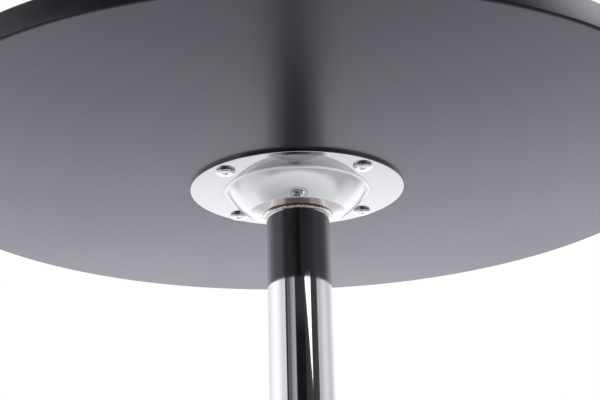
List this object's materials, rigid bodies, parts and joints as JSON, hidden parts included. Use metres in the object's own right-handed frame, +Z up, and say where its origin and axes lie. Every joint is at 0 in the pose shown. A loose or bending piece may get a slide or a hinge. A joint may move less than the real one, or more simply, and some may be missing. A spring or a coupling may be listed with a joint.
{
  "type": "round pedestal table",
  "caption": "Round bar table: dark laminated round top on a pressed chromed flange, straight chromed tube column and weighted trumpet base on screw-in levelling glides.",
  "frame": {"origin": "on the floor, on the column's axis, with the levelling glides screwed fully in", "axes": "+Z up along the column; the screws and glides stand on the diagonals, so -Y is the front between two screws"},
  "size_m": [0.6, 0.6, 1.05],
  "materials": {
    "black_laminate": "satin decorative laminate, near black with a slight violet tint",
    "black_edge": "satin edge band with rounded corners",
    "fibreboard": "raw medium-density fibreboard",
    "chrome": "polished chrome plating on steel",
    "weld": "plated weld bead with brown heat tint beside it",
    "zinc_steel": "bright zinc plating",
    "cast_iron": "black painted casting",
    "black_plastic": "moulded black plastic",
    "cover_sheet": "grained black plastic sheet",
    "nylon": "moulded nylon, slightly rough"
  },
  "bodies": {
    "table": {"tabletop_core": "fibreboard", "top_laminate": "black_laminate", "underside_laminate": "black_laminate", "edge_band": "black_edge", "threaded_inserts": "zinc_steel", "mounting_flange": "chrome", "weld_bead": "weld", "flange_screws": "zinc_steel", "column_tube": "chrome", "foot_plug": "zinc_steel", "base_shell": "chrome", "base_weight": "cast_iron", "tie_bolt": "zinc_steel", "flat_washer": "zinc_steel", "spring_washer": "zinc_steel", "neck_ring": "black_plastic", "rim_trim": "black_plastic", "bottom_cover": "cover_sheet", "cover_screws": "zinc_steel"},
    "glide_1": {"glide_stud_1": "zinc_steel", "glide_pad_1": "nylon"},
    "glide_2": {"glide_stud_2": "zinc_steel", "glide_pad_2": "nylon"},
    "glide_3": {"glide_stud_3": "zinc_steel", "glide_pad_3": "nylon"},
    "glide_4": {"glide_stud_4": "zinc_steel", "glide_pad_4": "nylon"}
  },
  "joints": [
    {"name": "glide_1_travel", "type": "slide", "parent": "table", "child": "glide_1", "axis": [0, 0, -1], "range_m": [0, 0.006]},
    {"name": "glide_2_travel", "type": "slide", "parent": "table", "child": "glide_2", "axis": [0, 0, -1], "range_m": [0, 0.006]},
    {"name": "glide_3_travel", "type": "slide", "parent": "table", "child": "glide_3", "axis": [0, 0, -1], "range_m": [0, 0.006]},
    {"name": "glide_4_travel", "type": "slide", "parent": "table", "child": "glide_4", "axis": [0, 0, -1], "range_m": [0, 0.006]}
  ]
}
